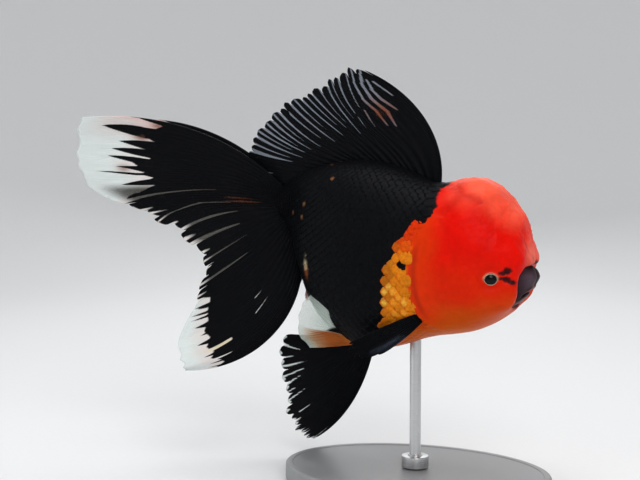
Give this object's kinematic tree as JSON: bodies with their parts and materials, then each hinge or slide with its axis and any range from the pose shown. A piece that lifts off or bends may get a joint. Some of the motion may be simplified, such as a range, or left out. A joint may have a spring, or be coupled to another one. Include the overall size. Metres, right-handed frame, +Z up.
{
  "type": "red-headed black oranda goldfish model on a display stand",
  "caption": "Life-size still model of a fancy goldfish with a red fleshy hood, black body and flowing fins, held nose down on a rod over an oval base.",
  "frame": {"origin": "middle of the underside of the stand's base, under the rod", "axes": "+X towards the snout, +Y towards the fish's left side, +Z up"},
  "size_m": [0.2157, 0.084, 0.1848],
  "materials": {
    "wen": "moist, pebbled red growth",
    "skin": "scaled skin, black with a gold and orange head",
    "muzzle": "smooth moist lips",
    "fin": "rayed membrane, black with clear tips",
    "eye": "polished",
    "base": "satin powder coat",
    "rod": "brushed"
  },
  "bodies": {
    "root": {"anal_fin_left": "fin", "anal_fin_right": "fin", "crown_growth": "wen", "dorsal_fin": "fin", "eye_left": "eye", "eye_right": "eye", "gill_cover_left": "skin", "gill_cover_right": "skin", "head": "skin", "lower_jaw": "muzzle", "muzzle": "muzzle", "pectoral_fin_left": "fin", "pectoral_fin_right": "fin", "pelvic_fin_left": "fin", "pelvic_fin_right": "fin", "stand_base": "base", "stand_rod": "rod", "tail_lower_left": "fin", "tail_lower_right": "fin", "tail_stalk": "skin", "tail_upper_left": "fin", "tail_upper_right": "fin", "trunk": "skin"}
  },
  "joints": []
}
